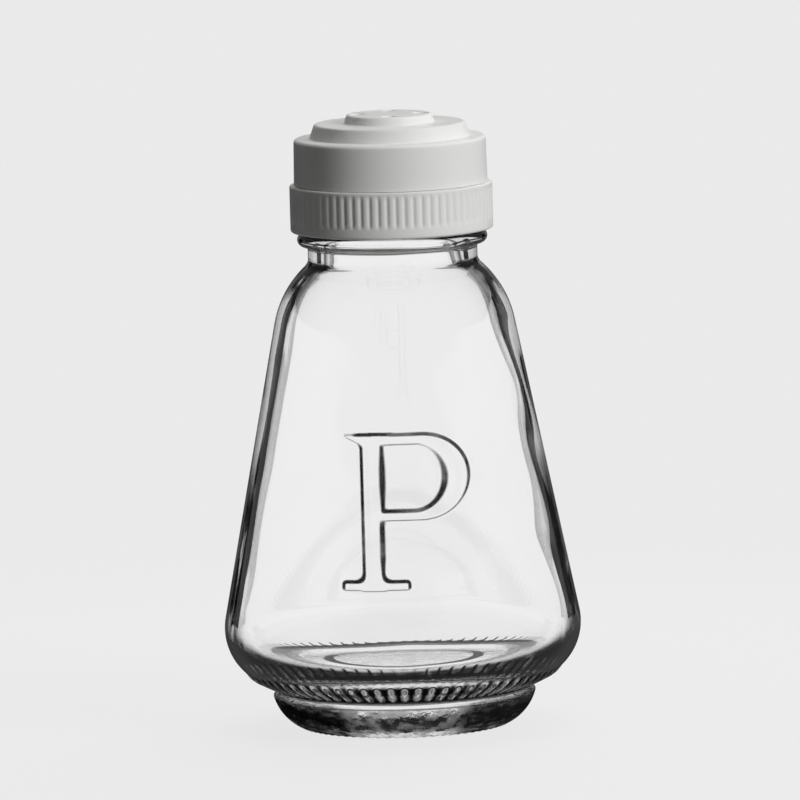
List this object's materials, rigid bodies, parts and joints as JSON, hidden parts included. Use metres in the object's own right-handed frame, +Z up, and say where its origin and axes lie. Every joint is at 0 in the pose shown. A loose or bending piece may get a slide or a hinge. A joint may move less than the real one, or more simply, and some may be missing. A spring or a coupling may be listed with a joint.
{
  "type": "pepper shaker",
  "caption": "Conical heavy-based glass pepper shaker with a ribbed white screw ring and a stepped twist head that opens and shuts its shaker holes.",
  "frame": {"origin": "centre of the standing ring of the foot, on the surface that the shaker stands on", "axes": "+Z up along the axis of the bottle and of its cap, -Y towards the front"},
  "size_m": [0.0624, 0.0624, 0.1073],
  "materials": {
    "clear_glass": "clear pressed and blown soda-lime glass, polished",
    "ring_white": "white moulded polypropylene, satin",
    "head_white": "white moulded polypropylene, satin",
    "sifter_natural": "natural moulded polythene",
    "foam_liner": "fine-celled foamed polythene"
  },
  "bodies": {
    "bottle": {"glass_bottle": "clear_glass"},
    "dispenser": {"sifter_insert": "sifter_natural", "lip_seal": "foam_liner"},
    "ring": {"screw_ring": "ring_white"},
    "head": {"twist_head": "head_white"}
  },
  "joints": [
    {"name": "cap_lift", "type": "slide", "parent": "bottle", "child": "dispenser", "axis": [0, 0, 1], "range_m": [0, 0.0128]},
    {"name": "ring_turn", "type": "hinge", "parent": "dispenser", "child": "ring", "pos_m": [0, 0, 0.0911], "axis": [0, 0, 1], "range_deg": [0, 1080]},
    {"name": "head_turn", "type": "hinge", "parent": "dispenser", "child": "head", "pos_m": [0, 0, 0.1], "axis": [0, 0, 1], "range_deg": [0, 45]}
  ],
  "couplings": [
    {"joint": "cap_lift", "follows": "ring_turn", "m_per_rad": 0.00067375}
  ]
}
